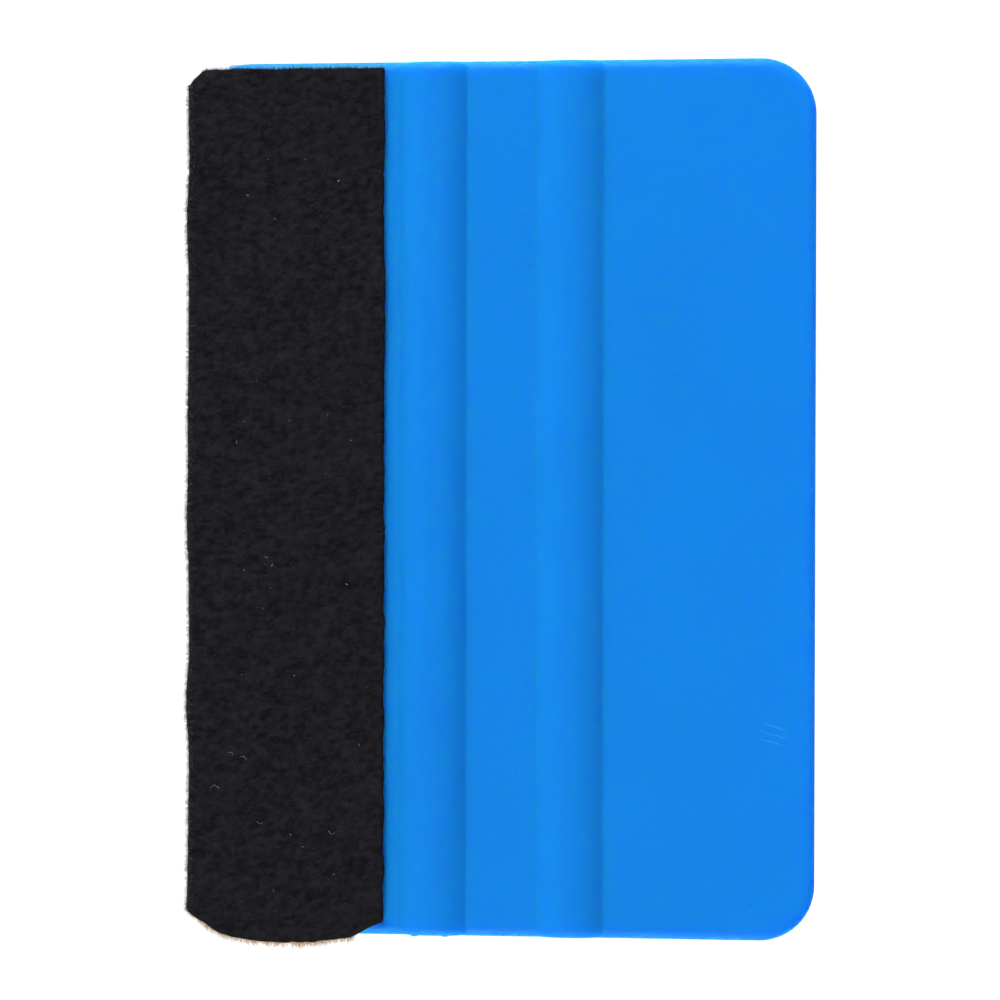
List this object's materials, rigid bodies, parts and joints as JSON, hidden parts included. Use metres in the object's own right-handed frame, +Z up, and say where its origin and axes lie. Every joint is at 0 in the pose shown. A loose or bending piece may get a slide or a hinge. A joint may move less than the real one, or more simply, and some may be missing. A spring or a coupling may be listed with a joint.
{
  "type": "squeegee applicator",
  "caption": "Flat plastic hand squeegee card with ridged grip, rounded corners and a black felt strip folded round one long edge, for smoothing vinyl film.",
  "frame": {"origin": "middle of the whole object's underside: halfway across the card with its felt, halfway along it, at the height of the lower ridges' lands", "axes": "+Y along the ridges towards the felt's square end, +X across the card towards the bare working edge, +Z up through the thickness"},
  "size_m": [0.0732, 0.1026, 0.006],
  "materials": {
    "card_plastic": "blue moulded plastic, satin, a fine moulded grain",
    "clear_adhesive": "thin clear adhesive film, slightly milky",
    "black_felt": "black short-pile felt, matte, with lint"
  },
  "bodies": {
    "root": {"blade_card": "card_plastic", "adhesive_film": "clear_adhesive", "felt_strip": "black_felt"}
  },
  "joints": []
}
